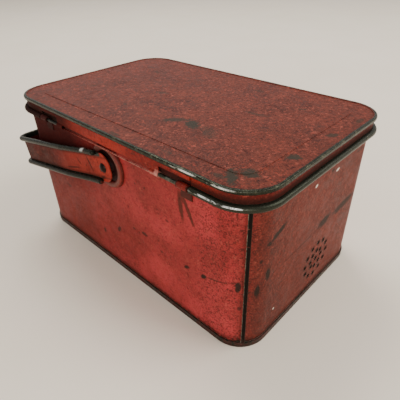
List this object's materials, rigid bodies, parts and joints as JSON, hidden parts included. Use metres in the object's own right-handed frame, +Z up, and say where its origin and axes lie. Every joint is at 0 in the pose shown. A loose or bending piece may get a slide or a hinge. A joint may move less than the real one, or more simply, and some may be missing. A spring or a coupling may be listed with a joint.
{
  "type": "lidded tinplate carry box",
  "caption": "Rectangular tinplate carry box with a hinged lid, a swinging strap handle and a rosette of vent holes in one end.",
  "frame": {"origin": "centre of the flat bottom", "axes": "+X along the box towards the vented end, -Y towards the hinge side, +Z up. At rest the lid is shut and the handle hangs at the -X end"},
  "size_m": [0.2107, 0.1388, 0.1014],
  "materials": {
    "red_paint": "worn red enamel over tinplate, satin",
    "lid_paint": "worn red enamel over tinplate, rubbed dull",
    "bare_tin": "tarnished bare tinplate and wire"
  },
  "bodies": {
    "box": {"bottom_panel": "bare_tin", "body_sheet_hinge_side": "red_paint", "body_sheet_front_side": "red_paint", "body_rim_wire": "bare_tin", "hinge_tab_right": "red_paint", "hinge_tab_left": "red_paint", "pivot_boss_hinge_side": "red_paint", "pivot_boss_front_side": "red_paint", "handle_rivet_hinge_side": "bare_tin", "handle_rivet_front_side": "bare_tin", "rivet_burr_hinge_side": "bare_tin", "rivet_burr_front_side": "bare_tin"},
    "lid": {"lid_panel": "lid_paint", "lid_skirt": "red_paint", "lid_wire_right": "bare_tin", "lid_wire_left": "bare_tin"},
    "handle": {"handle_strap": "red_paint", "handle_wire_upper": "bare_tin", "handle_wire_lower": "bare_tin"}
  },
  "joints": [
    {"name": "lid_hinge", "type": "hinge", "parent": "box", "child": "lid", "pos_m": [0, -0.06325, 0.0925], "axis": [1, 0, 0], "range_deg": [0, 100]},
    {"name": "handle_pivot", "type": "hinge", "parent": "box", "child": "handle", "pos_m": [0, 0, 0.08], "axis": [0, 1, 0], "range_deg": [0, 203]}
  ]
}
